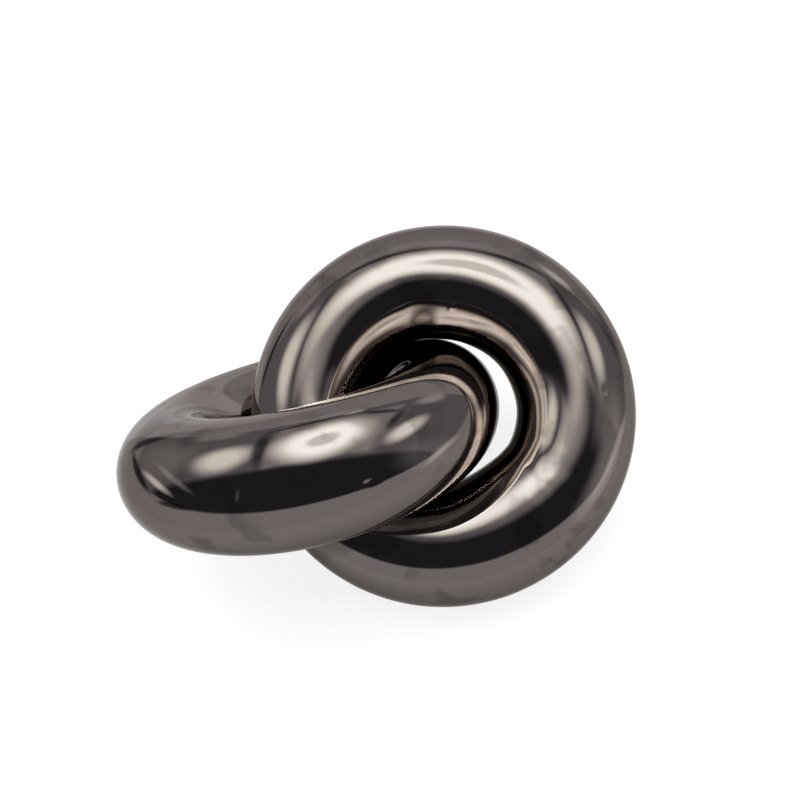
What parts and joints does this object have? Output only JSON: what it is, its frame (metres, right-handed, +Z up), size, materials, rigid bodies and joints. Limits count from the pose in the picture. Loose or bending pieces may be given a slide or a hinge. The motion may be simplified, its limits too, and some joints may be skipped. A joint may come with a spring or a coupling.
{
  "type": "linked ring sculpture",
  "caption": "Tabletop metal sculpture of fat polished tube rings linked through each other and leaning together, with dark plated shells and small foot pads.",
  "frame": {"origin": "on the table, under the middle of the pair, on its half-turn axis", "axes": "+Z up; +X from the middle of the left ring to the middle of the right ring; +Y away from the viewer"},
  "size_m": [0.242, 0.1622, 0.122],
  "materials": {
    "polished_shell": "mirror polished dark nickel plate",
    "polished_plug": "dark nickel plate, dressed flush",
    "backing_steel": "bare rolled steel",
    "pad_rubber": "fine matt"
  },
  "bodies": {
    "left_ring": {"left_foot_elbow": "polished_shell", "left_outer_elbow": "polished_shell", "left_top_elbow": "polished_shell", "left_linked_elbow": "polished_shell", "left_foot_outer_sleeve": "backing_steel", "left_outer_top_sleeve": "backing_steel", "left_top_linked_sleeve": "backing_steel", "left_linked_foot_sleeve": "backing_steel", "left_vent_plug": "polished_plug", "left_foot_pad": "pad_rubber"},
    "right_ring": {"right_foot_elbow": "polished_shell", "right_outer_elbow": "polished_shell", "right_top_elbow": "polished_shell", "right_linked_elbow": "polished_shell", "right_foot_outer_sleeve": "backing_steel", "right_outer_top_sleeve": "backing_steel", "right_top_linked_sleeve": "backing_steel", "right_linked_foot_sleeve": "backing_steel", "right_vent_plug": "polished_plug", "right_foot_pad": "pad_rubber"}
  },
  "joints": [
    {"name": "right_ring_lift", "type": "hinge", "parent": "left_ring", "child": "right_ring", "pos_m": [-0.02025, -0.00235, 0.06177], "axis": [0.0318, -0.6864, -0.7266], "range_deg": [0, 20]}
  ]
}
